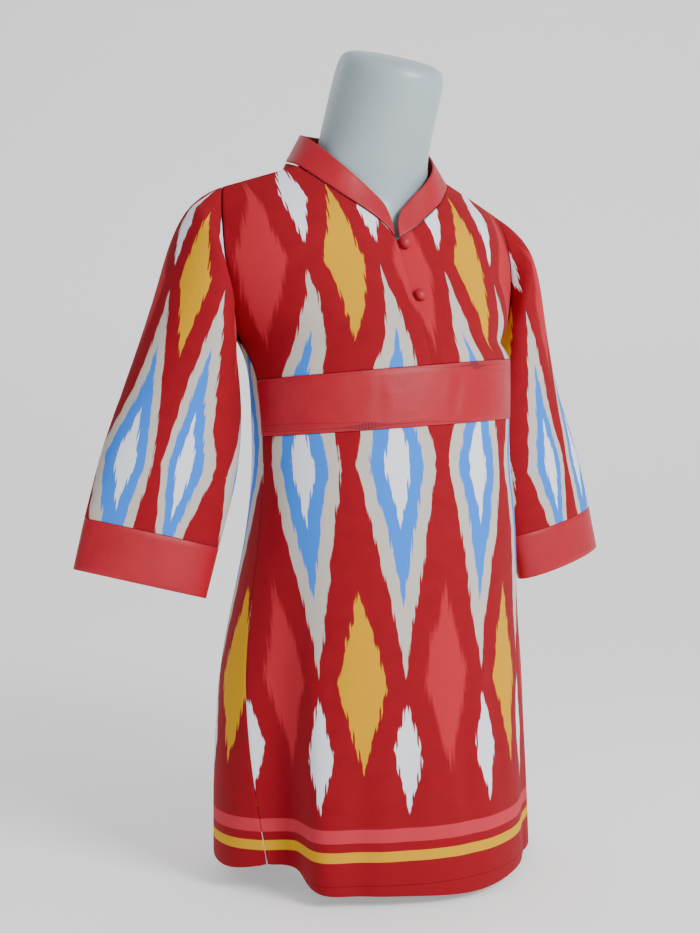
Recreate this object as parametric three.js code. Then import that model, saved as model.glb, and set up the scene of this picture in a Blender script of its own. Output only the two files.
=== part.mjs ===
// A printed cotton tunic with a stand collar, an empire waistband and three-quarter sleeves, worn by a limbless
// dress form. Millimetres, +Z up. The tunic faces -Y and the wearer's left is +X.
// The origin is the centre of the form's flat base, on the surface that the form stands on.
import * as THREE from "three";

// ---------------------------------------------------------------- driving sizes
const CLOTH = 1.2; // one layer of cotton with its pressed hems, as a wall
const DOUBLE = 1.8; // the collar, band and cuffs: two layers with a stiffener
const SEAM = 0.3; // the gap that stands for each seam
const HEM_Z = 12;
const UNDERARM_Z = 560;
const CHEST_Z = 531; // the lower edge of the bodice at the centre front
const LAP_EDGE = -5; // the right front ends here, over the left front
const LAP_UNDER = -22; // the left front goes on under it to here
const LAP_DEPTH = 4; // how far the left front is pressed back under the lap
const LAP_RAMP = 16; // the width over which it comes back out
const LAP_GAP = 1.5; // between the two ends of the collar, at the notch
const ARMHOLE_GAP = 0.9; // each curved seam is faceted on both sides, so it stands further apart
const NECK_GAP = 1.8; // under the collar
const SHOULDER_SHARE = 5 / 24; // each shoulder seam's share of the back's upper edge, whole divisions of it
const BUST = 16; // how far the bodice front is eased forward over the chest
const NECK_HALF = 240; // half of the neck seam's length
const COLLAR_CROWDING = 0.6; // how far the collar's divisions crowd towards its rounded ends
const FORM_STEP = 30; // the tallest step between two sections of the form
const CROWN = 0.6; // how far the middle of the neck's flat top stands above its rim
const BUTTON = { radius: 7.3, height: 6.4, x: 1.5, heights: [661, 603], clear: 1.8 };

// The waistband's edges at the centre front, and how much higher they sit for each millimetre to the wearer's left.
const BAND = { bottom: 470, bottomTilt: 0.075, top: CHEST_Z, topTilt: 0.1, proud: 0.8 };

// Level sections of the tunic's body: half width, and how far its front and back stand from the Z axis.
const BODY = [
  { z: 0, side: 182, front: 146, back: 129 },
  { z: 65, side: 181.5, front: 142, back: 130 },
  { z: 124, side: 180, front: 138, back: 131 },
  { z: 168, side: 177, front: 135, back: 130 },
  { z: 211, side: 174, front: 134, back: 126 },
  { z: 255, side: 168, front: 133, back: 119 },
  { z: 298, side: 162, front: 133, back: 107 },
  { z: 342, side: 157, front: 135, back: 91 },
  { z: 385, side: 152.5, front: 134, back: 82 },
  { z: 429, side: 148.5, front: 128, back: 80 },
  { z: 472, side: 149, front: 127, back: 79 },
  { z: 531, side: 152, front: 125, back: 84 },
  { z: 560, side: 160, front: 114, back: 92 },
];

// The side seams, in degrees forward of each side.
const SIDE_SEAM = [
  { z: 0, right: 19, left: 39 },
  { z: 250, right: 10, left: 24 },
  { z: 470, right: 4, left: 10 },
  { z: 531, right: 1, left: 4 },
  { z: 560, right: -9, left: -9 },
];

// The skirt's largest folds. Each runs at an angle from the wearer's left side round by the front, spreads over
// some degrees, stands out (or in, below zero) at the hem, and fades out at a height.
const FOLDS = [
  { at: 152, spread: 13, out: -36, fade: 400 },
  { at: 130, spread: 7, out: 6, fade: 300 },
  { at: 122, spread: 5, out: -5, fade: 260 },
  { at: 82, spread: 24, out: 15, fade: 380 },
  { at: 40, spread: 10, out: -7, fade: 330 },
  { at: 176, spread: 9, out: -4, fade: 320 },
  { at: 222, spread: 10, out: 6, fade: 380 },
  { at: 244, spread: 9, out: -9, fade: 420 },
  { at: 268, spread: 11, out: 8, fade: 400 },
  { at: 292, spread: 9, out: -8, fade: 430 },
  { at: 316, spread: 10, out: 7, fade: 380 },
  { at: 336, spread: 9, out: -6, fade: 330 },
];

// How far the hem lifts where the cloth is drawn into the deep fold, and dips at the centre front.
const HEM_LIFTS = [
  { at: 158, spread: 17, lift: 17 },
  { at: 82, spread: 18, lift: -5 },
  { at: 203, spread: 28, lift: 14 },
];

// The front surface on the centre line, up to the notch where the collar meets the front edge.
const FRONT_LINE = [
  { z: 531, y: -125 },
  { z: 574, y: -108 },
  { z: 609, y: -88 },
  { z: 640, y: -71 },
  { z: 667, y: -60 },
];
const FRONT_CURVE = 110; // the radius of the front across that line

// The neck seam of the wearer's left half, from the notch round to the centre back.
const NECK_SEAM = [
  { x: 18, y: -58.5, z: 679 },
  { x: 35, y: -53, z: 692 },
  { x: 60, y: -41, z: 709 },
  { x: 80, y: -24, z: 727 },
  { x: 95, y: -5, z: 743 },
  { x: 94, y: 22, z: 751 },
  { x: 78, y: 50, z: 757 },
  { x: 45, y: 70, z: 761 },
  { x: 0, y: 76, z: 762 },
];
const NECK_SIDE = 4; // the row of NECK_SEAM where the shoulder seam starts

// The collar's upper edge, for the same half and in the same order.
const COLLAR_EDGE = [
  { x: 12, y: -47, z: 704 },
  { x: 26, y: -43.5, z: 717 },
  { x: 47, y: -38, z: 735 },
  { x: 64, y: -25, z: 753 },
  { x: 74, y: -4, z: 771 },
  { x: 77, y: 18, z: 782 },
  { x: 64, y: 45, z: 789 },
  { x: 36, y: 62, z: 793 },
  { x: 0, y: 67, z: 794 },
];
const COLLAR_END = { right: -7.5, left: 0.5, y: -50.5, z: 697, corner: 13 };

const SHOULDER = { x: 172.6, y: 11, z: 716 };

// The armhole seam of the wearer's left half, between the underarm and the shoulder.
const ARMHOLE_FRONT = [
  { x: 169, y: -11, z: 578 },
  { x: 177, y: -12, z: 612 },
  { x: 180, y: -9, z: 658 },
  { x: 178, y: 0, z: 694 },
];
const ARMHOLE_BACK = [
  { x: 168, y: 30, z: 578 },
  { x: 175, y: 48, z: 612 },
  { x: 178, y: 48, z: 658 },
  { x: 177, y: 30, z: 694 },
];

// Sections across the wearer's left sleeve: its outer edge, its inner edge and half its depth front to back.
const SLEEVE = [
  { outX: 204, outY: 14, outZ: 701, inX: 165, inY: 4, inZ: 549, depth: 40 },
  { outX: 223, outY: 18, outZ: 668, inX: 163, inY: 2, inZ: 540, depth: 44 },
  { outX: 242, outY: 33, outZ: 594, inX: 160, inY: 0, inZ: 526, depth: 45 },
  { outX: 268, outY: 36, outZ: 517, inX: 156.5, inY: -2, inZ: 480, depth: 41 },
  { outX: 296, outY: 27, outZ: 450, inX: 162, inY: -3, inZ: 420, depth: 36 },
  { outX: 317, outY: 22, outZ: 378.5, inX: 183, inY: -5, inZ: 345.5, depth: 28 },
];
const CUFF_FOOT = { outX: 329, outY: 20, outZ: 329, inX: 197, inY: -5, inZ: 295, depth: 25 };

// Level sections of the dress form: half width, front and back as in BODY, how square the section is (2 is an
// ellipse), and how steeply its plane rises towards the back.
const FORM = [
  { z: 0, side: 92, front: 70, back: 72, square: 2, rise: 0 },
  { z: 70, side: 106, front: 79, back: 86, square: 2, rise: 0 },
  { z: 160, side: 130, front: 92, back: 108, square: 2, rise: 0 },
  { z: 240, side: 140, front: 98, back: 108, square: 2, rise: 0 },
  { z: 320, side: 135, front: 102, back: 88, square: 2, rise: 0 },
  { z: 400, side: 130, front: 108, back: 68, square: 2, rise: 0 },
  { z: 450, side: 131, front: 112, back: 64, square: 2, rise: 0 },
  { z: 520, side: 138, front: 114, back: 68, square: 2, rise: 0 },
  { z: 570, side: 144, front: 96, back: 78, square: 2, rise: 0 },
  { z: 620, side: 150, front: 69, back: 80, square: 1.9, rise: 0 },
  { z: 660, side: 152, front: 50, back: 72, square: 1.75, rise: 0 },
  { z: 690, side: 144, front: 41, back: 64, square: 1.5, rise: 0 },
  { z: 706, side: 130, front: 38, back: 62, square: 1.35, rise: 0 },
  { z: 718, side: 112, front: 40, back: 60, square: 1.3, rise: 0 },
  { z: 729, side: 91, front: 43, back: 62, square: 1.35, rise: 0 },
  { z: 739, side: 76, front: 48, back: 63, square: 1.55, rise: 0 },
  { z: 750, side: 68, front: 53, back: 62, square: 1.8, rise: 0 },
  { z: 766, side: 62, front: 58, back: 57, square: 2, rise: 0.08 },
  { z: 792, side: 60, front: 70, back: 46, square: 2, rise: 0.2 },
  { z: 838, side: 57.5, front: 90, back: 22, square: 2, rise: 0.4 },
  { z: 849, side: 56, front: 94, back: 14, square: 2, rise: 0.42 },
  { z: 855.5, side: 52, front: 93, back: 7, square: 2, rise: 0.42 },
  { z: 859, side: 43, front: 86, back: -3, square: 2, rise: 0.42 },
  { z: 860.5, side: 26, front: 70, back: -20, square: 2, rise: 0.42 },
];

// How finely each piece is divided.
const GRID = {
  skirt: { across: 24, up: 12 },
  back: { across: 24, side: 2, upper: 9 },
  bodice: { across: 8, free: 8, neck: 6 },
  band: { up: 2 },
  sleeve: { round: 20, rows: 12 },
  cuff: { rows: 2 },
  collar: { along: 34, up: 3 },
  form: { round: 48 },
  button: 16,
};

// ---------------------------------------------------------------- finishes
const printed = () => new THREE.MeshStandardMaterial({ color: 0xa81a2c, roughness: 0.85, metalness: 0 });
const plain = () => new THREE.MeshStandardMaterial({ color: 0xb81f34, roughness: 0.7, metalness: 0 });
const plastic = () => new THREE.MeshStandardMaterial({ color: 0x9fb0b6, roughness: 0.42, metalness: 0 });

// ---------------------------------------------------------------- helpers
const { degToRad, lerp } = THREE.MathUtils;
const vec = ({ x, y, z }) => new THREE.Vector3(x, y, z);
const mirror = (p) => new THREE.Vector3(-p.x, p.y, p.z);
const mirrored = (rows) => rows.map((row) => row.map(mirror).reverse());
const ease = (t) => THREE.MathUtils.smoothstep(t, 0, 1);

// A smooth value at height z between the rows of a table.
function at(table, column, z) {
  const last = table.length - 1;
  if (z <= table[0].z) return table[0][column];
  if (z >= table[last].z) return table[last][column];
  const k = table.findIndex((row) => row.z > z) - 1;
  const slope = (i) => {
    const low = table[Math.max(i - 1, 0)];
    const high = table[Math.min(i + 1, last)];
    return (high[column] - low[column]) / (high.z - low.z);
  };
  const span = table[k + 1].z - table[k].z;
  const t = (z - table[k].z) / span;
  const held = table[k][column] * (2 * t ** 3 - 3 * t ** 2 + 1) + table[k + 1][column] * (3 * t ** 2 - 2 * t ** 3);
  return held + span * (slope(k) * (t ** 3 - 2 * t ** 2 + t) + slope(k + 1) * (t ** 3 - t ** 2));
}

// The height of a bell centred on an angle, 1 at its middle.
function bell(angle, { at: middle, spread }) {
  const away = ((angle - middle + 540) % 360) - 180;
  return Math.exp(-((away / spread) ** 2));
}

// A smooth curve through table rows or vectors, as a function of the share of its length.
function through(points) {
  const curve = new THREE.CatmullRomCurve3(points.map(vec), false, "centripetal");
  curve.arcLengthDivisions = 400;
  return (t) => curve.getPointAt(THREE.MathUtils.clamp(t, 0, 1));
}

// A patch that fills its four edges, each a function of 0 to 1. Rows run from the bottom edge to the top.
function patch({ bottom, top, start, end }, across, up) {
  const rows = [];
  for (let j = 0; j <= up; j++) {
    const v = j / up;
    const row = [];
    for (let i = 0; i <= across; i++) {
      const u = i / across;
      const corners = bottom(0).multiplyScalar((1 - u) * (1 - v))
        .addScaledVector(bottom(1), u * (1 - v))
        .addScaledVector(top(0), (1 - u) * v)
        .addScaledVector(top(1), u * v);
      row.push(bottom(u).multiplyScalar(1 - v)
        .addScaledVector(top(u), v)
        .addScaledVector(start(v), 1 - u)
        .addScaledVector(end(v), u)
        .sub(corners));
    }
    rows.push(row);
  }
  return rows;
}

// A closed wall: the outer face through rows[up][across], and an inner face `thick` behind it. A round wall joins
// its ends. A `flatTop` is cut square to the front and back, and a `flatFoot` is cut level, to meet its seam.
function wall(rows, thick, { round = false, flatTop = false, flatFoot = false } = {}) {
  const high = rows.length;
  const wide = rows[0].length;
  const point = (i, j) => {
    const column = round ? (i + wide) % wide : THREE.MathUtils.clamp(i, 0, wide - 1);
    return rows[THREE.MathUtils.clamp(j, 0, high - 1)][column];
  };
  const behind = (i, j) => {
    const along = point(i + 1, j).clone().sub(point(i - 1, j));
    const up = point(i, j + 1).clone().sub(point(i, j - 1));
    const normal = along.cross(up);
    if (flatTop && j === high - 1) normal.setY(0);
    if (flatFoot && j === 0) normal.setZ(0);
    return point(i, j).clone().addScaledVector(normal.normalize(), -thick);
  };
  const positions = [];
  for (const place of [point, behind]) {
    for (let j = 0; j < high; j++) {
      for (let i = 0; i < wide; i++) positions.push(...place(i, j).toArray());
    }
  }
  const index = [];
  const id = (i, j, face) => face * high * wide + j * wide + (i % wide);
  const quad = (a, b, c, d) => index.push(a, b, c, a, c, d);
  for (let i = 0; i < (round ? wide : wide - 1); i++) {
    for (let j = 0; j < high - 1; j++) {
      quad(id(i, j, 0), id(i + 1, j, 0), id(i + 1, j + 1, 0), id(i, j + 1, 0));
      quad(id(i, j, 1), id(i, j + 1, 1), id(i + 1, j + 1, 1), id(i + 1, j, 1));
    }
    quad(id(i, 0, 1), id(i + 1, 0, 1), id(i + 1, 0, 0), id(i, 0, 0));
    quad(id(i, high - 1, 0), id(i + 1, high - 1, 0), id(i + 1, high - 1, 1), id(i, high - 1, 1));
  }
  for (let j = 0; j < high - 1 && !round; j++) {
    quad(id(0, j, 0), id(0, j + 1, 0), id(0, j + 1, 1), id(0, j, 1));
    quad(id(wide - 1, j, 1), id(wide - 1, j + 1, 1), id(wide - 1, j + 1, 0), id(wide - 1, j, 0));
  }
  const geometry = new THREE.BufferGeometry();
  geometry.setAttribute("position", new THREE.Float32BufferAttribute(positions, 3));
  geometry.setIndex(index);
  geometry.computeVertexNormals();
  return geometry;
}

const tunic = new THREE.Group();
function add(name, geometry, material) {
  const mesh = new THREE.Mesh(geometry, material);
  mesh.name = name;
  tunic.add(mesh);
  return mesh;
}

// ---------------------------------------------------------------- the body of the tunic
// A point of the body at an angle (degrees from the wearer's left side, round by the front) and a height.
function bodyPoint(angle, z, out = 0) {
  const turn = degToRad(angle);
  const front = at(BODY, "front", z);
  const back = at(BODY, "back", z);
  const side = at(BODY, "side", z);
  const folded = FOLDS.reduce((sum, fold) => {
    return sum + fold.out * bell(angle, fold) * ease(1 - (z - HEM_Z) / (fold.fade - HEM_Z));
  }, 0);
  const reach = 1 + (folded + out) / ((side + (front + back) / 2) / 2);
  const middle = (back - front) / 2;
  return new THREE.Vector3(
    side * reach * Math.cos(turn),
    middle - ((front + back) / 2) * reach * Math.sin(turn),
    z,
  );
}

const halfGap = THREE.MathUtils.radToDeg(SEAM / 150);
const leftSeam = (z) => at(SIDE_SEAM, "left", z);
const rightSeam = (z) => 180 - at(SIDE_SEAM, "right", z);
const hemHeight = (angle) => HEM_LIFTS.reduce((sum, row) => sum + row.lift * bell(angle, row), HEM_Z);
const bandEdge = (angle, level, tilt) => level + tilt * at(BODY, "side", level) * Math.cos(degToRad(angle));
const bandBottom = (angle) => bandEdge(angle, BAND.bottom, BAND.bottomTilt);
const bandTop = (angle) => bandEdge(angle, BAND.top, BAND.topTilt);

// The height on the skirt of one of the level rows that its front and back share.
const skirtHeight = (angle, share) => lerp(hemHeight(angle), bandBottom(angle) - SEAM, share);

// The front skirt hangs from the band, between the side seams.
function skirtFront() {
  const rows = [];
  for (let j = 0; j <= GRID.skirt.up; j++) {
    const level = lerp(HEM_Z, BAND.bottom, j / GRID.skirt.up);
    const row = [];
    for (let i = 0; i <= GRID.skirt.across; i++) {
      const angle = lerp(rightSeam(level) - halfGap, leftSeam(level) + halfGap, i / GRID.skirt.across);
      row.push(bodyPoint(angle, skirtHeight(angle, j / GRID.skirt.up)));
    }
    rows.push(row);
  }
  return wall(rows, CLOTH);
}

// The waistband crosses the front only, and stands a little proud of the two panels that it joins.
function waistband() {
  const rows = [];
  for (let j = 0; j <= GRID.band.up; j++) {
    const row = [];
    for (let i = 0; i <= GRID.skirt.across; i++) {
      const level = lerp(BAND.bottom, BAND.top, j / GRID.band.up);
      const angle = lerp(rightSeam(level) - halfGap, leftSeam(level) + halfGap, i / GRID.skirt.across);
      const z = lerp(bandBottom(angle), bandTop(angle), j / GRID.band.up);
      row.push(bodyPoint(angle, z, BAND.proud));
    }
    rows.push(row);
  }
  return wall(rows, DOUBLE);
}

// The armhole's seam, from the underarm to the shoulder.
const UNDERARM = bodyPoint(leftSeam(UNDERARM_Z), UNDERARM_Z);
const armholeFront = through([UNDERARM, ...ARMHOLE_FRONT, SHOULDER]);
const armholeBack = through([UNDERARM, ...ARMHOLE_BACK, SHOULDER]);
const shoulderSeam = (t) => vec(NECK_SEAM[NECK_SIDE]).lerp(vec(SHOULDER), t);

// A point of the front near the centre line, where the front is a shallow curve.
function onFront(x, z) {
  return { x, y: at(FRONT_LINE, "y", z) + x ** 2 / (2 * FRONT_CURVE), z };
}

// One front of the bodice, worked out on the wearer's left side. Its free edge stands at `edge` from the centre
// line, below zero where it crosses the line, and `notch` is how that edge reaches the neck seam.
function bodiceFront({ edge, notch, column, tilt }) {
  const sideAngle = (z) => at(SIDE_SEAM, column, z) + halfGap * lerp(2, 20, (z - CHEST_Z) / (UNDERARM_Z - CHEST_Z));
  const bottom = (u) => {
    const freeAngle = THREE.MathUtils.radToDeg(Math.acos(edge / at(BODY, "side", CHEST_Z)));
    const angle = lerp(freeAngle, sideAngle(CHEST_Z), u);
    return bodyPoint(angle, bandEdge(angle, CHEST_Z, tilt) + SEAM);
  };
  const side = (share) => {
    const angle = sideAngle(lerp(CHEST_Z, UNDERARM_Z, share));
    return bodyPoint(angle, lerp(bandEdge(angle, CHEST_Z, tilt) + SEAM, UNDERARM_Z, share));
  };
  const free = through([bottom(0), ...FRONT_LINE.slice(1, -1).map(({ z }) => onFront(edge, z)), notch[0]]);
  const neck = through([...notch, ...NECK_SEAM.slice(0, NECK_SIDE + 1)]);
  const end = through([side(0), side(0.5), side(1), ...ARMHOLE_FRONT, SHOULDER]);
  const up = GRID.bodice.free + GRID.bodice.neck;
  const split = GRID.bodice.free / up;
  const start = (v) => (v <= split ? free(v / split) : neck((v - split) / (1 - split)));
  const rows = patch({ bottom, top: shoulderSeam, start, end }, GRID.bodice.across, up);
  rows.forEach((row, j) => row.forEach((p, i) => {
    const eased = BUST * Math.sin(Math.PI * i / GRID.bodice.across) * Math.sin(Math.PI * (j / up) ** 0.75);
    p.setY(p.y - SEAM - eased);
  }));
  return rows;
}

const NOTCH = { right: { x: 6.5, y: -60.2, z: 667 }, left: { x: -3, y: -60.6, z: 665.5 } };

// The right front lies on top, and its free edge is the line that shows.
function bodiceRight() {
  const rows = bodiceFront({ edge: -LAP_EDGE, notch: [NOTCH.right], column: "right", tilt: -BAND.topTilt });
  return wall(mirrored(rows), CLOTH, { flatTop: true, flatFoot: true });
}

// The left front runs on under the lap, pressed back by the cloth over it.
function bodiceLeft() {
  const notch = [onFront(LAP_UNDER, 655), NOTCH.left];
  const rows = bodiceFront({ edge: LAP_UNDER, notch, column: "left", tilt: BAND.topTilt });
  const pressed = ({ x }) => LAP_DEPTH * (1 - THREE.MathUtils.smoothstep(x, LAP_EDGE, LAP_EDGE + LAP_RAMP));
  rows.forEach((row) => row.forEach((p) => p.setY(p.y + pressed(p))));
  return wall(rows, CLOTH, { flatTop: true, flatFoot: true });
}

// The back is one panel from the hem to the shoulders. Below the underarms its rows are level, and above them it
// fills the space between the armholes, the shoulder seams and the neck.
function back() {
  const rows = [];
  const row = (level, height) => {
    const points = [];
    for (let i = 0; i <= GRID.back.across; i++) {
      const angle = lerp(leftSeam(level) - halfGap, rightSeam(level) + halfGap - 360, i / GRID.back.across);
      points.push(bodyPoint(angle, height(angle)));
    }
    rows.push(points);
  };
  for (let j = 0; j <= GRID.skirt.up; j++) {
    const share = j / GRID.skirt.up;
    row(lerp(HEM_Z, BAND.bottom, share), (angle) => skirtHeight(angle, share));
  }
  for (let j = 1; j <= GRID.band.up; j++) {
    const share = j / GRID.band.up;
    row(lerp(BAND.bottom, BAND.top, share), (angle) => lerp(bandBottom(angle), bandTop(angle), share));
  }
  for (let j = 1; j <= GRID.back.side; j++) {
    const share = j / GRID.back.side;
    row(lerp(BAND.top, UNDERARM_Z, share), (angle) => lerp(bandTop(angle), UNDERARM_Z, share));
  }
  const neck = NECK_SEAM.slice(NECK_SIDE);
  const backNeck = through([...neck, ...neck.slice(0, -1).reverse().map(mirror)]);
  const top = (u) => {
    if (u <= SHOULDER_SHARE) return shoulderSeam(1 - u / SHOULDER_SHARE);
    if (u >= 1 - SHOULDER_SHARE) return mirror(shoulderSeam(1 - (1 - u) / SHOULDER_SHARE));
    return backNeck((u - SHOULDER_SHARE) / (1 - 2 * SHOULDER_SHARE));
  };
  const bottom = (u) => bodyPoint(lerp(leftSeam(UNDERARM_Z), rightSeam(UNDERARM_Z) - 360, u), UNDERARM_Z);
  const edges = { bottom, top, start: armholeBack, end: (v) => mirror(armholeBack(v)) };
  rows.push(...patch(edges, GRID.back.across, GRID.back.upper).slice(1));
  return wall(rows, CLOTH, { flatTop: true });
}

// ---------------------------------------------------------------- sleeves and cuffs
// A section across the left sleeve: from its outer edge by the front, the inner edge and the back.
function sleeveSection({ outX, outY, outZ, inX, inY, inZ, depth }) {
  const outer = new THREE.Vector3(outX, outY, outZ);
  const inner = new THREE.Vector3(inX, inY, inZ);
  const middle = outer.clone().lerp(inner, 0.5);
  const wide = outer.clone().sub(middle);
  const across = wide.clone().normalize();
  const forward = new THREE.Vector3(0, -1, 0);
  forward.addScaledVector(across, -forward.dot(across)).setLength(depth);
  const points = [];
  for (let i = 0; i < GRID.sleeve.round; i++) {
    const turn = (i / GRID.sleeve.round) * 2 * Math.PI;
    points.push(middle.clone().addScaledVector(wide, Math.cos(turn)).addScaledVector(forward, Math.sin(turn)));
  }
  return points;
}

// The armhole as a section of the sleeve, in the same order.
function armholeSection() {
  const points = [];
  for (let i = 0; i < GRID.sleeve.round; i++) {
    const share = i / GRID.sleeve.round;
    const p = share <= 0.5 ? armholeFront(1 - 2 * share) : armholeBack(2 * share - 1);
    points.push(p.setX(p.x + ARMHOLE_GAP));
  }
  return points;
}

function sleeve() {
  const sections = [armholeSection(), ...SLEEVE.map(sleeveSection)];
  const lines = sections[0].map((_, i) => through(sections.map((section) => section[i])));
  const rows = [];
  for (let j = 0; j <= GRID.sleeve.rows; j++) rows.push(lines.map((line) => line(j / GRID.sleeve.rows)));
  return rows;
}

function cuff() {
  const top = sleeveSection(SLEEVE[SLEEVE.length - 1]);
  const foot = sleeveSection(CUFF_FOOT);
  const rows = [];
  for (let j = 0; j <= GRID.cuff.rows; j++) {
    const share = lerp(SEAM / top[0].distanceTo(foot[0]), 1, j / GRID.cuff.rows);
    rows.push(top.map((p, i) => p.clone().lerp(foot[i], share)));
  }
  return rows;
}

// ---------------------------------------------------------------- collar and buttons
// The stand collar follows the neck seam from its left end by the back to its right end, and leans in to its
// upper edge. Both front ends are rounded.
function collar() {
  const half = (table) => [...table, ...table.slice(0, -1).reverse().map(mirror)];
  const { right, left, y, z, corner } = COLLAR_END;
  const { right: notchRight, left: notchLeft } = NOTCH;
  const lower = through([notchLeft, ...half(NECK_SEAM), { ...notchRight, x: -notchRight.x - LAP_GAP }]);
  const upper = through([{ x: left, y, z }, ...half(COLLAR_EDGE), { x: right, y, z }]);
  const length = 2 * NECK_HALF;
  const columns = [];
  for (let i = 0; i <= GRID.collar.along; i++) {
    const even = i / GRID.collar.along;
    const crowded = (1 - Math.cos(even * Math.PI)) / 2;
    const t = lerp(even, crowded, COLLAR_CROWDING);
    const fromEnd = Math.min(t, 1 - t) * length;
    const drop = fromEnd < corner ? corner * (1 - Math.sqrt(1 - (1 - fromEnd / corner) ** 2)) : 0;
    const low = lower(t).setZ(lower(t).z + NECK_GAP);
    const high = upper(t);
    const share = 1 - drop / low.distanceTo(high);
    columns.push({ low, high: low.clone().lerp(high, share) });
  }
  const rows = [];
  for (let j = 0; j <= GRID.collar.up; j++) {
    rows.push(columns.map(({ low, high }) => low.clone().lerp(high, j / GRID.collar.up)));
  }
  return wall(rows, DOUBLE);
}

// A domed button covered in the plain cloth, sewn to the left front against the edge of the lap.
function button(height) {
  const { radius, height: dome, x, clear } = BUTTON;
  const profile = [new THREE.Vector2(0, 0), new THREE.Vector2(radius * 0.9, 0), new THREE.Vector2(radius, dome * 0.2)];
  for (let k = 1; k < 6; k++) {
    const turn = (k / 6) * Math.PI / 2;
    profile.push(new THREE.Vector2(radius * Math.cos(turn), dome * (0.2 + 0.8 * Math.sin(turn))));
  }
  profile.push(new THREE.Vector2(0, dome));
  const slope = (at(FRONT_LINE, "y", height + 5) - at(FRONT_LINE, "y", height - 5)) / 10;
  const normal = new THREE.Vector3(0, -1, slope).normalize();
  const geometry = new THREE.LatheGeometry(profile, GRID.button);
  geometry.applyQuaternion(new THREE.Quaternion().setFromUnitVectors(new THREE.Vector3(0, 1, 0), normal));
  const place = vec(onFront(x, height)).addScaledVector(normal, clear + SEAM);
  geometry.translate(place.x, place.y, place.z);
  return geometry;
}

// ---------------------------------------------------------------- the dress form
// The form is one smooth solid: a torso cut off level below the hips, with a neck that leans forward and no limbs.
function dressForm() {
  const { round } = GRID.form;
  const ring = (z) => {
    const side = at(FORM, "side", z);
    const front = at(FORM, "front", z);
    const rear = at(FORM, "back", z);
    const power = 2 / at(FORM, "square", z);
    const points = [];
    for (let i = 0; i < round; i++) {
      const turn = (-i / round) * 2 * Math.PI;
      const shape = (value) => Math.sign(value) * Math.abs(value) ** power;
      const deep = -shape(Math.sin(turn)) * (front + rear) / 2;
      points.push([side * shape(Math.cos(turn)), (rear - front) / 2 + deep, z + at(FORM, "rise", z) * deep]);
    }
    return points;
  };
  const top = FORM[FORM.length - 1];
  const rings = [];
  for (const [k, row] of FORM.entries()) {
    rings.push(ring(row.z));
    const next = FORM[k + 1];
    if (next && next.z - row.z > FORM_STEP) rings.push(ring((row.z + next.z) / 2));
  }
  const positions = rings.flat(2);
  const index = [];
  for (let j = 0; j < rings.length - 1; j++) {
    for (let i = 0; i < round; i++) {
      const [a, b] = [j * round + i, j * round + ((i + 1) % round)];
      index.push(a, b, b + round, a, b + round, a + round);
    }
  }
  const floor = positions.length / 3;
  positions.push(0, (FORM[0].back - FORM[0].front) / 2, 0);
  positions.push(0, (top.back - top.front) / 2, top.z + CROWN);
  const last = (rings.length - 1) * round;
  for (let i = 0; i < round; i++) {
    const next = (i + 1) % round;
    index.push(floor, next, i);
    index.push(floor + 1, last + i, last + next);
  }
  const geometry = new THREE.BufferGeometry();
  geometry.setAttribute("position", new THREE.Float32BufferAttribute(positions, 3));
  geometry.setIndex(index);
  geometry.computeVertexNormals();
  return geometry;
}

// ---------------------------------------------------------------- the object
add("dress_form", dressForm(), plastic());
add("back", back(), printed());
add("skirt_front", skirtFront(), printed());
add("bodice_front_right", bodiceRight(), printed());
add("bodice_front_left", bodiceLeft(), printed());
add("waistband", waistband(), plain());
add("collar", collar(), plain());
add("sleeve_left", wall(sleeve(), CLOTH, { round: true }), printed());
add("sleeve_right", wall(mirrored(sleeve()), CLOTH, { round: true }), printed());
add("cuff_left", wall(cuff(), DOUBLE, { round: true }), plain());
add("cuff_right", wall(mirrored(cuff()), DOUBLE, { round: true }), plain());
BUTTON.heights.forEach((height, k) => add(`button_${k + 1}`, button(height), plain()));

export default tunic;
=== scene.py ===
import math
import bmesh
import bpy
import numpy as np
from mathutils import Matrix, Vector


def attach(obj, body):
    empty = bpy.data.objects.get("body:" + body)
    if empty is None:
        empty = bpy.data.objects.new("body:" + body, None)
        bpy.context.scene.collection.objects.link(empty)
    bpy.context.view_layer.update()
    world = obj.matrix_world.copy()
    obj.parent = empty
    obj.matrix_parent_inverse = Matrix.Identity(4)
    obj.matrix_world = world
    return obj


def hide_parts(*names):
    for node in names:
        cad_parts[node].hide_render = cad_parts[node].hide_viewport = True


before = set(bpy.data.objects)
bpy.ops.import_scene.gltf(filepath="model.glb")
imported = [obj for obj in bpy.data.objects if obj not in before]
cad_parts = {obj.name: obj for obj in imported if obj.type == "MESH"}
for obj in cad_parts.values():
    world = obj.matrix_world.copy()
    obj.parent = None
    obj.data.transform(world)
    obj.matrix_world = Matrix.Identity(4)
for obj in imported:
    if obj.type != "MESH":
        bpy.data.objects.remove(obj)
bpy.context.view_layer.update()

# ---------------------------------------------------------------- camera
# It stands level, in front of the wearer's right, a little under half the object's height.
CAMERA_TURN = math.radians(-30)
CAMERA_AWAY = 1.42
CAMERA_SIDEWAYS = -0.0239
CAMERA_HEIGHT = 0.445
CAMERA_LENS = 50.4
CAMERA_RISE = -0.0177  # the shift that puts the horizon a little above the middle of the picture
forward = Vector((-math.sin(CAMERA_TURN), math.cos(CAMERA_TURN), 0))
sideways = Vector((math.cos(CAMERA_TURN), math.sin(CAMERA_TURN), 0))
camera_data = bpy.data.cameras.new("camera")
camera_data.lens = CAMERA_LENS
camera_data.shift_y = CAMERA_RISE
camera = bpy.data.objects.new("camera", camera_data)
camera.location = sideways * CAMERA_SIDEWAYS - forward * CAMERA_AWAY + Vector((0, 0, CAMERA_HEIGHT))
camera.rotation_euler = (math.radians(90), 0, CAMERA_TURN)
bpy.context.scene.collection.objects.link(camera)
bpy.context.scene.camera = camera

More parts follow.
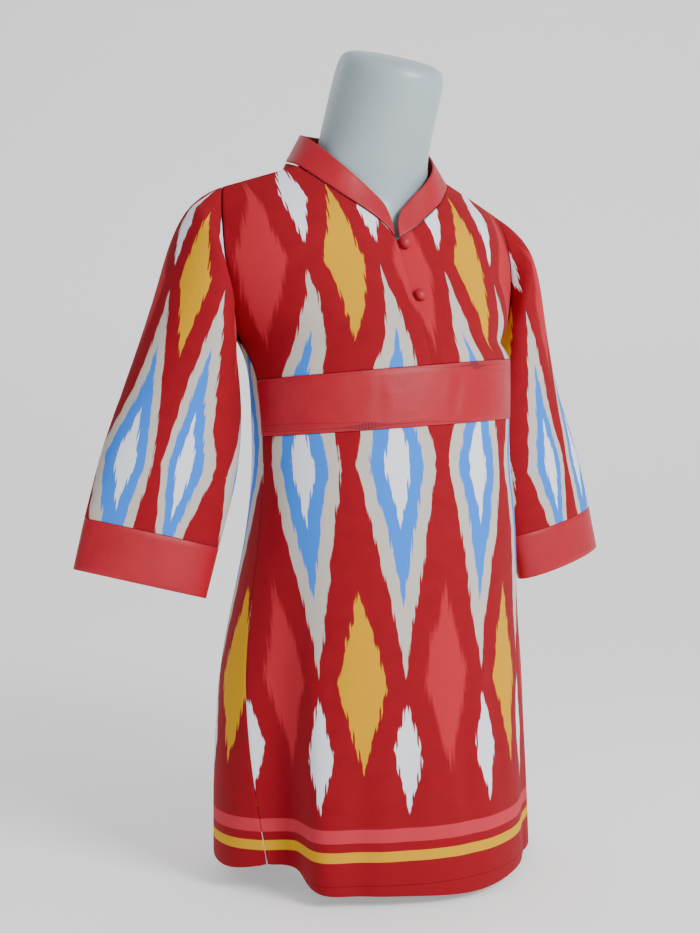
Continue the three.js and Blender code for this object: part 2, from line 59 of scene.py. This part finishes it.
# ---------------------------------------------------------------- copies of the CAD nodes
# Each piece below starts as a copy of the CAD node that it stands for, so both have the same place and size.
# Its loose triangles are merged first, and the CAD node itself stays as it is.
MERGE_DISTANCE = 1e-5


def fresh_copy(node, name):
    """A copy of a CAD node to work on, with its loose triangles merged."""
    bpy.ops.object.select_all(action="DESELECT")
    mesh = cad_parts[node].data.copy()
    piece = bpy.data.objects.new(name, mesh)
    bpy.context.scene.collection.objects.link(piece)
    mesh.materials.clear()
    shell = bmesh.new()
    shell.from_mesh(mesh)
    bmesh.ops.remove_doubles(shell, verts=shell.verts, dist=MERGE_DISTANCE)
    shell.to_mesh(mesh)
    shell.free()
    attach(piece, "root")
    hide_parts(node)
    return piece


def apply(piece, kind, **settings):
    """Adds a modifier with these settings and applies it."""
    bpy.ops.object.select_all(action="DESELECT")
    bpy.context.view_layer.objects.active = piece
    piece.select_set(True)
    modifier = piece.modifiers.new(kind.lower(), kind)
    for key, value in settings.items():
        setattr(modifier, key, value)
    bpy.ops.object.modifier_apply(modifier=modifier.name)


def new_material(name, roughness):
    """A node material, with a shorthand to add and join its nodes."""
    material = bpy.data.materials.new(name)
    material.use_nodes = True
    tree = material.node_tree
    shader = tree.nodes["Principled BSDF"]
    shader.inputs["Roughness"].default_value = roughness

    def node(kind, *inputs, **settings):
        made = tree.nodes.new(kind)
        for key, value in settings.items():
            setattr(made, key, value)
        for slot_number, value in enumerate(inputs):
            if value is None:
                continue
            if isinstance(value, bpy.types.NodeSocket):
                tree.links.new(value, made.inputs[slot_number])
            else:
                made.inputs[slot_number].default_value = value
        return made

    return material, tree, shader, node


def noise(node, place, scale, detail=2):
    """A soft cloudy value from 0 to 1."""
    made = node("ShaderNodeTexNoise", place)
    made.inputs["Scale"].default_value = scale
    made.inputs["Detail"].default_value = detail
    return made.outputs["Fac"]


# ---------------------------------------------------------------- dress form
# The limbless form is one hollow moulding of satin grey-blue plastic, with a smooth skin and a soft rim to
# the neck's flat top. The tunic hides all of it but its neck.
form = fresh_copy("dress_form", "form_shell")
apply(form, "SUBSURF", levels=1, render_levels=1)
form.data.shade_smooth()
plastic, tree, shader, node = new_material("satin_plastic", 0.36)
place = node("ShaderNodeTexCoord").outputs["Object"]
ramp = node("ShaderNodeValToRGB", noise(node, place, scale=9))
ramp.color_ramp.elements[0].color = (0.31, 0.40, 0.43, 1)
ramp.color_ramp.elements[1].color = (0.40, 0.49, 0.52, 1)
tree.links.new(ramp.outputs["Color"], shader.inputs["Base Color"])
GRAIN_STRENGTH, GRAIN_DEPTH = 0.05, 0.0006
bump = node("ShaderNodeBump", GRAIN_STRENGTH, GRAIN_DEPTH)
tree.links.new(noise(node, place, scale=260), bump.inputs["Height"])
tree.links.new(bump.outputs["Normal"], shader.inputs["Normal"])
form.data.materials.append(plastic)

# ---------------------------------------------------------------- the printed cotton
# Plain-weave cotton with a printed ikat pattern: long lozenges in grey, sky blue and white, mustard and rose
# lozenges between them, and small white ones past their tips. It mirrors about a line below the bust.
PITCH = 0.084  # between the lines of long lozenges
FIRST_LINE = 0.038  # how far the first of them stands to the wearer's right of the centre front
MIRROR_HEIGHT = 0.430
SHARP, SOFT = 0.0004, 0.0022  # how far the dye runs at a lozenge's edge
LOZENGES = [
    # nearest and furthest tip from the mirror line, and half the lozenge's width
    {"on": "rose", "colour": (0.46, 0.016, 0.030), "near": 0.123, "far": 0.299, "half": 0.0240, "edge": SOFT},
    {"on": "gold", "colour": (0.62, 0.31, 0.001), "near": 0.125, "far": 0.301, "half": 0.0235, "edge": SHARP},
    {"on": "long", "colour": (0.53, 0.48, 0.43), "near": -0.204, "far": 0.204, "half": 0.0360, "edge": SHARP},
    {"on": "long", "colour": (0.03, 0.21, 0.78), "near": -0.133, "far": 0.133, "half": 0.0243, "edge": SHARP},
    {"on": "long", "colour": (0.78, 0.80, 0.88), "near": -0.057, "far": 0.057, "half": 0.0120, "edge": SHARP},
    {"on": "long", "colour": (0.78, 0.80, 0.88), "near": 0.229, "far": 0.337, "half": 0.0136, "edge": SHARP},
]
GROUND = (0.27, 0.0015, 0.009)
STRIPES = [
    {"colour": (0.52, 0.030, 0.050), "low": 0.063, "high": 0.076},
    {"colour": (0.64, 0.33, 0.003), "low": 0.0446, "high": 0.0545},
]
BORDER_TOP = 0.090
BUNDLE = 0.0017  # the width of warp threads that were tied and dyed together
STRAY = 0.016  # how far the dye strays along them
DRIFT = 0.02  # how far whole lozenges drift along the cloth, and a quarter of it across
HEM_STITCHES = {"height": 0.022, "half": 0.0004, "step": 0.003, "length": 0.0022, "shade": 0.45}
THREAD = 0.0011
THREAD_DEPTH = 0.0003
RUMPLE = {"strength": 0.22, "depth": 0.004, "scale": 38, "detail": 4}


def weave_bump(tree, node, shader, across, along, strength):
    """The fine relief of the threads, over the slight rumple of washed cotton."""
    waves = []
    for direction in (across, along):
        turned = node("ShaderNodeMath", direction, 2 * math.pi / THREAD, operation="MULTIPLY").outputs[0]
        waves.append(node("ShaderNodeMath", turned, operation="SINE").outputs[0])
    both = node("ShaderNodeMath", *waves, operation="MULTIPLY").outputs[0]
    place = node("ShaderNodeTexCoord").outputs["Object"]
    fine = node("ShaderNodeBump", strength, THREAD_DEPTH)
    tree.links.new(both, fine.inputs["Height"])
    coarse = node("ShaderNodeBump", RUMPLE["strength"], RUMPLE["depth"])
    tree.links.new(noise(node, place, RUMPLE["scale"], RUMPLE["detail"]), coarse.inputs["Height"])
    tree.links.new(fine.outputs["Normal"], coarse.inputs["Normal"])
    tree.links.new(coarse.outputs["Normal"], shader.inputs["Normal"])


def printed_material():
    """Draws the print from each piece's own place on the flat cloth."""
    material, tree, shader, node = new_material("printed_cotton", 0.82)
    shader.inputs["Sheen Weight"].default_value = 0.02
    shader.inputs["Specular IOR Level"].default_value = 0.18
    shader.inputs["Sheen Roughness"].default_value = 0.5

    def math_node(operation, *inputs):
        return node("ShaderNodeMath", *inputs, operation=operation).outputs[0]

    def mix(share, low, high):
        made = node("ShaderNodeMix", data_type="RGBA")
        tree.links.new(share, made.inputs[0])
        for number, value in ((6, low), (7, high)):
            if isinstance(value, bpy.types.NodeSocket):
                tree.links.new(value, made.inputs[number])
            else:
                made.inputs[number].default_value = (*value, 1)
        return made.outputs[2]

    cut = node("ShaderNodeSeparateXYZ", node("ShaderNodeUVMap", uv_map="cut").outputs["UV"])
    across, along = cut.outputs[0], cut.outputs[1]
    hem = node("ShaderNodeAttribute", attribute_name="from_edge").outputs["Fac"]
    # Each small bundle of warp threads carries its dye a little further or less far than its neighbour.
    bundle = math_node("FLOOR", math_node("DIVIDE", across, BUNDLE))
    stray = node("ShaderNodeTexWhiteNoise", None, bundle, noise_dimensions="1D").outputs["Value"]
    stray = math_node("MULTIPLY", math_node("SUBTRACT", stray, 0.5), STRAY)
    on_cloth = node("ShaderNodeCombineXYZ", across, along).outputs[0]
    drift = math_node("SUBTRACT", noise(node, on_cloth, scale=26, detail=3), 0.5)
    from_line = math_node("ABSOLUTE", math_node("SUBTRACT", along, MIRROR_HEIGHT))
    far = math_node("ADD", from_line, math_node("ADD", stray, math_node("MULTIPLY", drift, DRIFT)))
    sway = math_node("ADD", across, math_node("MULTIPLY", drift, DRIFT / 4))

    def off_line(shift, period):
        moved = math_node("ADD", sway, shift + period / 2)
        wrapped = math_node("FLOORED_MODULO", moved, period)
        return math_node("ABSOLUTE", math_node("SUBTRACT", wrapped, period / 2))

    lines = {
        "long": off_line(FIRST_LINE, PITCH),
        "gold": off_line(FIRST_LINE + PITCH / 2, 2 * PITCH),
        "rose": off_line(FIRST_LINE - PITCH / 2, 2 * PITCH),
    }
    shades = [tuple(channel * depth for channel in GROUND) for depth in (0.86, 1.14)]
    colour = mix(noise(node, on_cloth, scale=60), *shades)
    for row in LOZENGES:
        middle = (row["near"] + row["far"]) / 2
        reach = (row["far"] - row["near"]) / 2
        away = math_node("ABSOLUTE", math_node("SUBTRACT", far, middle))
        half = math_node("MULTIPLY_ADD", away, -row["half"] / reach, row["half"])
        inside = math_node("SUBTRACT", half, lines[row["on"]])
        share = node("ShaderNodeMapRange", inside, -row["edge"], row["edge"], 0.0, 1.0).outputs[0]
        colour = mix(share, colour, row["colour"])
    # The border is plain below the print.
    fade = 0.002
    border = node("ShaderNodeMapRange", hem, BORDER_TOP - fade, BORDER_TOP + fade, 1.0, 0.0).outputs[0]
    colour = mix(border, colour, GROUND)
    for row in STRIPES:
        above = math_node("GREATER_THAN", hem, row["low"])
        below = math_node("LESS_THAN", hem, row["high"])
        colour = mix(math_node("MULTIPLY", above, below), colour, row["colour"])
    # The hem's stitches are a slightly darker dashed row.
    near_hem = math_node("COMPARE", hem, HEM_STITCHES["height"], HEM_STITCHES["half"])
    along_row = math_node("FLOORED_MODULO", across, HEM_STITCHES["step"])
    dash = math_node("LESS_THAN", along_row, HEM_STITCHES["length"])
    thread = tuple(channel * HEM_STITCHES["shade"] for channel in GROUND)
    colour = mix(math_node("MULTIPLY", near_hem, dash), colour, thread)
    tree.links.new(colour, shader.inputs["Base Color"])
    weave_bump(tree, node, shader, across, along, strength=0.25)
    return material


printed = printed_material()

# ---------------------------------------------------------------- how the cloth is rounded and laid out
# A CAD wall is rounded into cloth, its creases are pressed into both skins at once, and each of its points is
# given its place on the flat cloth, which the print and the weave follow.
BODY_SECTIONS = [
    {"height": 0.0, "wide": 0.182, "deep": 0.137},
    {"height": 0.25, "wide": 0.168, "deep": 0.126},
    {"height": 0.47, "wide": 0.149, "deep": 0.103},
    {"height": 0.56, "wide": 0.160, "deep": 0.103},
]
CHEST = {"from": 0.52, "over": 0.08, "ease": 1.08}  # above this the cloth is laid out nearly flat
ARC_STEPS = 25


def arc_of(turn, wide, deep):
    """The length round an ellipse from its middle front to this turn of its angle."""
    steps = np.linspace(0, 1, ARC_STEPS)[None, :] * turn[:, None]
    speed = np.sqrt((wide[:, None] * np.cos(steps)) ** 2 + (deep[:, None] * np.sin(steps)) ** 2)
    return np.trapz(speed, steps, axis=1)


def arc_round(points, facing):
    """How far round the body each point lies from the centre line of the front (-1) or of the back (+1)."""
    x, y, height = points.T
    columns = {key: [row[key] for row in BODY_SECTIONS] for key in ("height", "wide", "deep")}
    wide = np.interp(height, columns["height"], columns["wide"])
    deep = np.interp(height, columns["height"], columns["deep"])
    arc = arc_of(np.arctan2(x / wide, facing * y / deep), wide, deep)
    upper = np.clip((height - CHEST["from"]) / CHEST["over"], 0, 1)
    return (1 - upper) * arc + upper * x * CHEST["ease"]


JOIN_ANGLE = math.radians(35)
SKEW_ANGLE = math.radians(60)
RIM_ANGLE = math.radians(55)
RIM_CREASE = 0.9


def soften_wall(piece, levels=2):
    """Rounds a wall's facets; its sharp rims are creased, so its two skins stay a thickness apart."""
    shell = bmesh.new()
    shell.from_mesh(piece.data)
    bmesh.ops.recalc_face_normals(shell, faces=shell.faces)
    bmesh.ops.join_triangles(
        shell, faces=shell.faces, angle_face_threshold=JOIN_ANGLE, angle_shape_threshold=SKEW_ANGLE
    )
    crease = shell.edges.layers.float.new("crease_edge")
    for edge in shell.edges:
        if edge.is_manifold and edge.calc_face_angle() > RIM_ANGLE:
            edge[crease] = RIM_CREASE
    shell.to_mesh(piece.data)
    shell.free()
    apply(piece, "SUBSURF", levels=levels, render_levels=levels)
    piece.data.shade_smooth()


def read_points(mesh):
    """The mesh's points, one in each row."""
    values = np.empty(len(mesh.vertices) * 3)
    mesh.vertices.foreach_get("co", values)
    return values.reshape(-1, 3)


def away_from(offsets):
    """Directions of length one along these offsets."""
    shortest = 0.01
    return offsets / np.maximum(np.linalg.norm(offsets, axis=1), shortest)[:, None]


def outward_from_body(points):
    """Level directions away from the body's upright line."""
    return away_from(points * np.array([1, 1, 0]))


LIP_HEIGHT = 0.45  # the raised lip beside a crease, as a share of its depth
LIP_PLACE = 1.9  # and how many widths it stands from the crease's middle


def press_creases(piece, outward, creases):
    """Each crease is a soft trough between two places, and fades at both its ends."""
    points = read_points(piece.data)
    moved = np.zeros(len(points))
    for start, end, width, depth in creases:
        start = np.array(start)
        run = np.array(end) - start
        share = np.clip((points - start) @ run / (run @ run), 0, 1)
        off = np.linalg.norm(points - (start + share[:, None] * run), axis=1)
        fade = np.sin(np.pi * np.clip(share, 0.02, 0.98)) ** 0.6
        lip = LIP_HEIGHT * np.exp(-(((off - LIP_PLACE * width) / width) ** 2))
        moved -= depth * (np.exp(-((off / width) ** 2)) - lip) * fade
    points += outward(points) * moved[:, None]
    piece.data.vertices.foreach_set("co", points.ravel())
    piece.data.update()


def lay_print(piece, across, along, from_edge):
    """Stores each point's place on the flat cloth, and how far it is from the edge that is stitched."""
    mesh = piece.data
    corner = np.empty(len(mesh.loops), dtype=np.int32)
    mesh.loops.foreach_get("vertex_index", corner)
    layer = mesh.uv_layers.new(name="cut")
    layer.data.foreach_set("uv", np.stack([across[corner], along[corner]], axis=1).ravel())
    mesh.uv_layers.active = layer
    attribute = mesh.attributes.new("from_edge", "FLOAT", "POINT")
    attribute.data.foreach_set("value", np.broadcast_to(from_edge, len(across)).astype(np.float32))


NOT_STITCHED = 1.0  # a distance from the edge that is past every row of stitches and every stripe
CHEST_STRETCH = {"above": 0.53, "share": 0.06}  # the sloping chest takes more cloth than its height


def torso_piece(node_name, name, creases):
    """One printed piece of the body, laid out on the print from the centre line of its own side."""
    piece = fresh_copy(node_name, name)
    soften_wall(piece)
    press_creases(piece, outward_from_body, creases)
    points = read_points(piece.data)
    across = arc_round(points, 1 if node_name == "back" else -1)
    height = points[:, 2]
    stretch = CHEST_STRETCH["share"] * np.clip(height - CHEST_STRETCH["above"], 0, 1)
    lay_print(piece, across, height + stretch, height)
    piece.data.materials.append(printed)


# ---------------------------------------------------------------- the skirt's front
# One panel of printed cotton, sewn into the band above it and to the back down both sides. It hangs nearly
# straight, with slack folds towards the hem and a few creases from having been folded away.
torso_piece("skirt_front", "skirt_front_cloth", [
    # from, to, width, depth
    ((0.085, -0.16, 0.02), (0.062, -0.13, 0.30), 0.011, 0.0034),
    ((0.120, -0.15, 0.02), (0.105, -0.12, 0.22), 0.009, 0.0028),
    ((0.028, -0.17, 0.02), (0.020, -0.14, 0.20), 0.012, 0.0022),
    ((-0.05, -0.16, 0.02), (-0.045, -0.14, 0.16), 0.013, 0.0018),
    ((-0.125, -0.13, 0.02), (-0.115, -0.11, 0.27), 0.012, 0.0026),
    ((-0.10, -0.13, 0.352), (0.02, -0.145, 0.346), 0.0045, 0.0011),
    ((-0.02, -0.145, 0.300), (0.11, -0.12, 0.309), 0.0045, 0.0012),
    ((-0.12, -0.12, 0.236), (0.00, -0.15, 0.242), 0.0045, 0.0010),
    ((0.012, -0.13, 0.466), (0.035, -0.13, 0.405), 0.007, 0.0020),
    ((-0.040, -0.13, 0.464), (-0.054, -0.13, 0.420), 0.006, 0.0014),
])

# ---------------------------------------------------------------- the bodice's two fronts
# Two panels of printed cotton that lap at the centre, the wearer's right over the left, sewn into the band
# below and shaped over the bust. Tension lines run in from the underarm, and short ones up from the band.
RIGHT_CREASES = [
    # from, to, width, depth
    ((-0.150, -0.06, 0.575), (-0.070, -0.12, 0.602), 0.008, 0.0022),
    ((-0.140, -0.05, 0.62), (-0.095, -0.09, 0.66), 0.008, 0.0018),
    ((-0.100, -0.11, 0.540), (-0.088, -0.13, 0.580), 0.006, 0.0014),
    ((-0.030, -0.12, 0.536), (-0.026, -0.13, 0.572), 0.005, 0.0010),
]
torso_piece("bodice_front_right", "bodice_right_cloth", RIGHT_CREASES)
torso_piece("bodice_front_left", "bodice_left_cloth", [
    # from, to, width, depth
    ((0.150, -0.06, 0.568), (0.080, -0.12, 0.590), 0.008, 0.0024),
    ((0.138, -0.05, 0.630), (0.100, -0.09, 0.672), 0.008, 0.0016),
    ((0.094, -0.11, 0.540), (0.082, -0.13, 0.585), 0.006, 0.0015),
    ((0.034, -0.12, 0.536), (0.030, -0.13, 0.566), 0.005, 0.0011),
])

# ---------------------------------------------------------------- the back
# One whole panel of printed cotton from the neck to the hem. It falls clear of the waist, so it folds softly
# there and hangs in long slack folds below.
torso_piece("back", "back_cloth", [
    # from, to, width, depth
    ((0.070, 0.16, 0.03), (0.055, 0.12, 0.36), 0.013, 0.0034),
    ((-0.050, 0.16, 0.03), (-0.062, 0.12, 0.30), 0.012, 0.0032),
    ((0.135, 0.12, 0.03), (0.120, 0.10, 0.27), 0.011, 0.0026),
    ((-0.130, 0.12, 0.03), (-0.122, 0.10, 0.31), 0.012, 0.0028),
    ((-0.120, 0.09, 0.470), (-0.010, 0.13, 0.458), 0.010, 0.0030),
    ((0.015, 0.13, 0.486), (0.115, 0.09, 0.497), 0.010, 0.0026),
    ((-0.060, 0.12, 0.520), (0.040, 0.13, 0.527), 0.008, 0.0018),
    ((-0.12, 0.07, 0.585), (-0.07, 0.10, 0.650), 0.010, 0.0024),
    ((0.125, 0.07, 0.580), (0.075, 0.10, 0.640), 0.010, 0.0022),
    ((-0.10, 0.12, 0.322), (0.02, 0.14, 0.315), 0.0045, 0.0011),
])

# ---------------------------------------------------------------- the sleeves
# Each is one panel of printed cotton sewn into a tube down the inside of the arm and set into the armhole. It
# hangs empty, and breaks at the elbow into short creases.


ARM_TOP = (0.185, 0.012, 0.66)  # the middle of the sleeve, for the wearer's left arm
ARM_FOOT = (0.262, 0.008, 0.315)
SLEEVE = {"wide": 0.066, "deep": 0.050}  # half its width and half its depth
SLEEVE_PRINT = {"mirror": 0.429, "down": 0.238, "stretch": 1.17}  # where the print's mirror line falls on it


def arm_line(side):
    """The top of this arm's middle line, and its direction down."""
    top, foot = (np.array([side * x, y, z]) for x, y, z in (ARM_TOP, ARM_FOOT))
    return top, (foot - top) / np.linalg.norm(foot - top)


def outward_from_arm(side):
    """Gives directions square to the arm's middle line and away from it."""
    top, down = arm_line(side)

    def outward(points):
        offset = points - top
        return away_from(offset - (offset @ down)[:, None] * down)

    return outward


def sleeve_piece(node_name, name, side, twist, creases):
    """One sleeve, with its print turned round the arm by the twist."""
    piece = fresh_copy(node_name, name)
    soften_wall(piece)
    press_creases(piece, outward_from_arm(side), creases)
    top, down = arm_line(side)
    offset = read_points(piece.data) - top
    front = np.array([0, -1, 0]) + down * down[1]
    front = front / np.linalg.norm(front)
    left = -np.cross(down, front)
    turn = np.arctan2(offset @ left / SLEEVE["wide"], offset @ front / SLEEVE["deep"])
    wide, deep = (np.full(len(turn), SLEEVE[key]) for key in ("wide", "deep"))
    across = arc_of(turn, wide, deep) + twist
    past_mirror = SLEEVE_PRINT["down"] - offset @ down
    along = SLEEVE_PRINT["mirror"] + past_mirror * SLEEVE_PRINT["stretch"]
    lay_print(piece, across, along, NOT_STITCHED)
    piece.data.materials.append(printed)


sleeve_piece("sleeve_right", "sleeve_right_cloth", -1, -0.048, [
    # from, to, width, depth
    ((-0.290, -0.04, 0.436), (-0.215, -0.05, 0.424), 0.006, 0.0030),
    ((-0.300, -0.03, 0.412), (-0.230, -0.05, 0.403), 0.006, 0.0024),
    ((-0.300, -0.03, 0.378), (-0.220, -0.05, 0.383), 0.006, 0.0022),
    ((-0.170, -0.04, 0.560), (-0.205, -0.05, 0.520), 0.010, 0.0030),
    ((-0.150, -0.03, 0.640), (-0.200, -0.05, 0.650), 0.010, 0.0020),
    ((-0.180, 0.05, 0.500), (-0.240, 0.07, 0.470), 0.009, 0.0030),
    ((-0.210, 0.06, 0.430), (-0.270, 0.06, 0.445), 0.008, 0.0026),
    ((-0.240, -0.05, 0.350), (-0.250, -0.05, 0.312), 0.006, 0.0016),
])
sleeve_piece("sleeve_left", "sleeve_left_cloth", 1, -0.024, [
    # from, to, width, depth
    ((0.175, -0.04, 0.535), (0.245, -0.04, 0.522), 0.008, 0.0034),
    ((0.205, -0.05, 0.470), (0.270, -0.04, 0.480), 0.008, 0.0026),
    ((0.215, -0.05, 0.415), (0.290, -0.04, 0.405), 0.007, 0.0026),
    ((0.172, -0.04, 0.590), (0.200, -0.05, 0.550), 0.010, 0.0028),
    ((0.180, 0.05, 0.510), (0.240, 0.07, 0.480), 0.009, 0.0030),
    ((0.210, 0.06, 0.425), (0.275, 0.06, 0.436), 0.008, 0.0026),
    ((0.248, -0.05, 0.352), (0.256, -0.05, 0.315), 0.006, 0.0015),
])

# ---------------------------------------------------------------- the plain satin cotton
# The band, the collar, the cuffs and the buttons are all cut from one plain red sateen, which shines a
# little. The band is stitched down in a row just inside each of its long edges.
BAND_STITCHES = {"inside": 0.0035, "half": 0.00035, "step": 0.0028, "length": 0.0021}


def plain_material():
    """The sateen, with a slow change of tone and its stitches."""
    material, tree, shader, node = new_material("plain_cotton", 0.46)
    shader.inputs["Sheen Weight"].default_value = 0.03
    shader.inputs["Specular IOR Level"].default_value = 0.32
    cut = node("ShaderNodeSeparateXYZ", node("ShaderNodeUVMap", uv_map="cut").outputs["UV"])
    across, along = cut.outputs[0], cut.outputs[1]
    edge = node("ShaderNodeAttribute", attribute_name="from_edge").outputs["Fac"]
    tone = noise(node, node("ShaderNodeTexCoord").outputs["Object"], scale=30, detail=3)
    ramp = node("ShaderNodeValToRGB", tone)
    ramp.color_ramp.elements[0].color = (0.32, 0.002, 0.012, 1)
    ramp.color_ramp.elements[1].color = (0.44, 0.006, 0.022, 1)
    row, half = BAND_STITCHES["inside"], BAND_STITCHES["half"]
    near = node("ShaderNodeMath", edge, row, half, operation="COMPARE").outputs[0]
    dash = node("ShaderNodeMath", across, BAND_STITCHES["step"], operation="FLOORED_MODULO").outputs[0]
    dash = node("ShaderNodeMath", dash, BAND_STITCHES["length"], operation="LESS_THAN").outputs[0]
    stitch = node("ShaderNodeMath", near, dash, operation="MULTIPLY").outputs[0]
    mixed = node("ShaderNodeMix", data_type="RGBA")
    tree.links.new(stitch, mixed.inputs[0])
    tree.links.new(ramp.outputs["Color"], mixed.inputs[6])
    mixed.inputs[7].default_value = (0.17, 0.006, 0.014, 1)
    tree.links.new(mixed.outputs[2], shader.inputs["Base Color"])
    weave_bump(tree, node, shader, across, along, strength=0.12)
    return material


plain = plain_material()


def strip_piece(node_name, name, outward, across_of, creases, from_edge=None):
    """A plain strip; across_of says how far along it each point lies, and from_edge how far from an edge."""
    piece = fresh_copy(node_name, name)
    soften_wall(piece)
    press_creases(piece, outward, creases)
    points = read_points(piece.data)
    edge = from_edge(points) if from_edge else NOT_STITCHED
    lay_print(piece, across_of(points), points[:, 2], edge)
    piece.data.materials.append(plain)


# ---------------------------------------------------------------- the waistband
# A doubled, stiffened strip of the plain sateen that joins the skirt's front to the bodice, from side seam to
# side seam. It is stitched down along both long edges, and creases a little where it bends round the body.
BAND = {"top": 0.531, "bottom": 0.470, "tilt": 0.02}


def from_band_edge(points):
    """How far each point is from the nearer of the band's two long edges."""
    level = points[:, 2] - BAND["tilt"] * points[:, 0]
    return np.minimum(np.abs(level - BAND["top"]), np.abs(level - BAND["bottom"]))


strip_piece(
    "waistband", "waistband_cloth",
    outward_from_body, lambda points: arc_round(points, -1), [
        # from, to, width, depth
        ((0.02, -0.125, 0.476), (0.030, -0.125, 0.520), 0.006, 0.0014),
        ((-0.062, -0.115, 0.480), (-0.058, -0.11, 0.515), 0.006, 0.0012),
        ((-0.125, -0.07, 0.505), (-0.085, -0.10, 0.498), 0.005, 0.0010),
        ((0.080, -0.11, 0.498), (0.125, -0.07, 0.510), 0.005, 0.0011),
    ],
    from_edge=from_band_edge,
)

# ---------------------------------------------------------------- the collar
# A stand of doubled, stiffened plain sateen, sewn round the neck and open at the front. It has one soft break
# on the wearer's left and one behind.
NECK_RADIUS = 0.075
strip_piece(
    "collar", "collar_cloth",
    outward_from_body, lambda points: np.arctan2(points[:, 0], -points[:, 1]) * NECK_RADIUS, [
        # from, to, width, depth
        ((0.062, -0.055, 0.705), (0.074, -0.04, 0.735), 0.005, 0.0012),
        ((-0.050, 0.06, 0.755), (-0.046, 0.07, 0.790), 0.006, 0.0010),
    ],
)

# ---------------------------------------------------------------- the cuffs
# Each is a doubled strip of the plain sateen, turned round the foot of the sleeve and sewn to it. It hangs
# open, and dents slightly in front and behind.
CUFF_RADIUS = 0.05


def cuff_piece(node_name, name, side, creases):
    """One cuff, laid out round the foot of the arm's middle line."""
    middle = np.array([side * ARM_FOOT[0], ARM_FOOT[1], ARM_FOOT[2]])

    def across_of(points):
        offset = points - middle
        return np.arctan2(offset[:, 0], -offset[:, 1]) * CUFF_RADIUS

    strip_piece(node_name, name, outward_from_arm(side), across_of, creases)


cuff_piece("cuff_right", "cuff_right_cloth", -1, [
    # from, to, width, depth
    ((-0.262, -0.06, 0.300), (-0.258, -0.06, 0.345), 0.006, 0.0012),
    ((-0.285, 0.07, 0.310), (-0.280, 0.07, 0.350), 0.006, 0.0012),
])
cuff_piece("cuff_left", "cuff_left_cloth", 1, [
    # from, to, width, depth
    ((0.252, -0.06, 0.300), (0.248, -0.06, 0.345), 0.006, 0.0012),
    ((0.288, 0.07, 0.310), (0.282, 0.07, 0.350), 0.006, 0.0012),
])

# ---------------------------------------------------------------- the two buttons
# Round domed buttons covered in the plain sateen, one above the other at the chest, sewn to the wearer's left
# front against the edge of the lap.
for number in (1, 2):
    button = fresh_copy(f"button_{number}", f"button_{number}_covered")
    soften_wall(button, levels=1)
    points = read_points(button.data)
    lay_print(button, points[:, 0], points[:, 2], NOT_STITCHED)
    button.data.materials.append(plain)

# ---------------------------------------------------------------- floor, background and light
# A plain pale floor that turns up into the background, lit by a soft studio lamp from the front right, with a
# weak one behind and a pale surrounding light.
SWEEP = {"near": -3.0, "far": 1.6, "radius": 0.9, "top": 4.0, "half": 5.0, "below": 0.0005}
BEND_STEPS = 10
profile = [(SWEEP["near"], 0.0), (SWEEP["far"], 0.0)]
for step in range(1, BEND_STEPS + 1):
    turn = math.radians(90) * step / BEND_STEPS
    profile.append((SWEEP["far"] + SWEEP["radius"] * math.sin(turn), SWEEP["radius"] * (1 - math.cos(turn))))
profile.append((SWEEP["far"] + SWEEP["radius"], SWEEP["top"]))
corners = []
for along, height in profile:
    for aside in (-SWEEP["half"], SWEEP["half"]):
        spot = forward * along + sideways * aside
        corners.append((spot.x, spot.y, height - SWEEP["below"]))
faces = [(2 * n, 2 * n + 1, 2 * n + 3, 2 * n + 2) for n in range(len(profile) - 1)]
sweep = bpy.data.meshes.new("sweep")
sweep.from_pydata(corners, [], faces)
sweep.shade_smooth()
floor = bpy.data.objects.new("floor", sweep)
bpy.context.scene.collection.objects.link(floor)
paper, tree, shader, node = new_material("backdrop_paper", 0.9)
shader.inputs["Base Color"].default_value = (0.92, 0.92, 0.92, 1)
shader.inputs["Emission Color"].default_value = (1, 1, 1, 1)
shader.inputs["Emission Strength"].default_value = 0.35
sweep.materials.append(paper)

world = bpy.data.worlds.new("surround")
bpy.context.scene.world = world
world.use_nodes = True
surround = world.node_tree.nodes["Background"]
surround.inputs["Color"].default_value = (1.0, 1.0, 1.0, 1)
surround.inputs["Strength"].default_value = 0.52


def lamp(name, place, aim_height, size, power):
    """A square soft lamp turned to a point on the object's upright line."""
    data = bpy.data.lights.new(name, "AREA")
    data.size = size
    data.energy = power
    made = bpy.data.objects.new(name, data)
    made.location = place
    made.rotation_euler = (Vector((0, 0, aim_height)) - place).to_track_quat("-Z", "Y").to_euler()
    bpy.context.scene.collection.objects.link(made)


key_place = sideways * 1.5 - forward * 1.5 + Vector((0, 0, 1.5))
lamp("key", key_place, aim_height=0.45, size=0.9, power=62)
wash_place = forward * 1.2 - sideways * 1.6 + Vector((0, 0, 2.2))
lamp("back_wash", wash_place, aim_height=0.5, size=1.2, power=5)
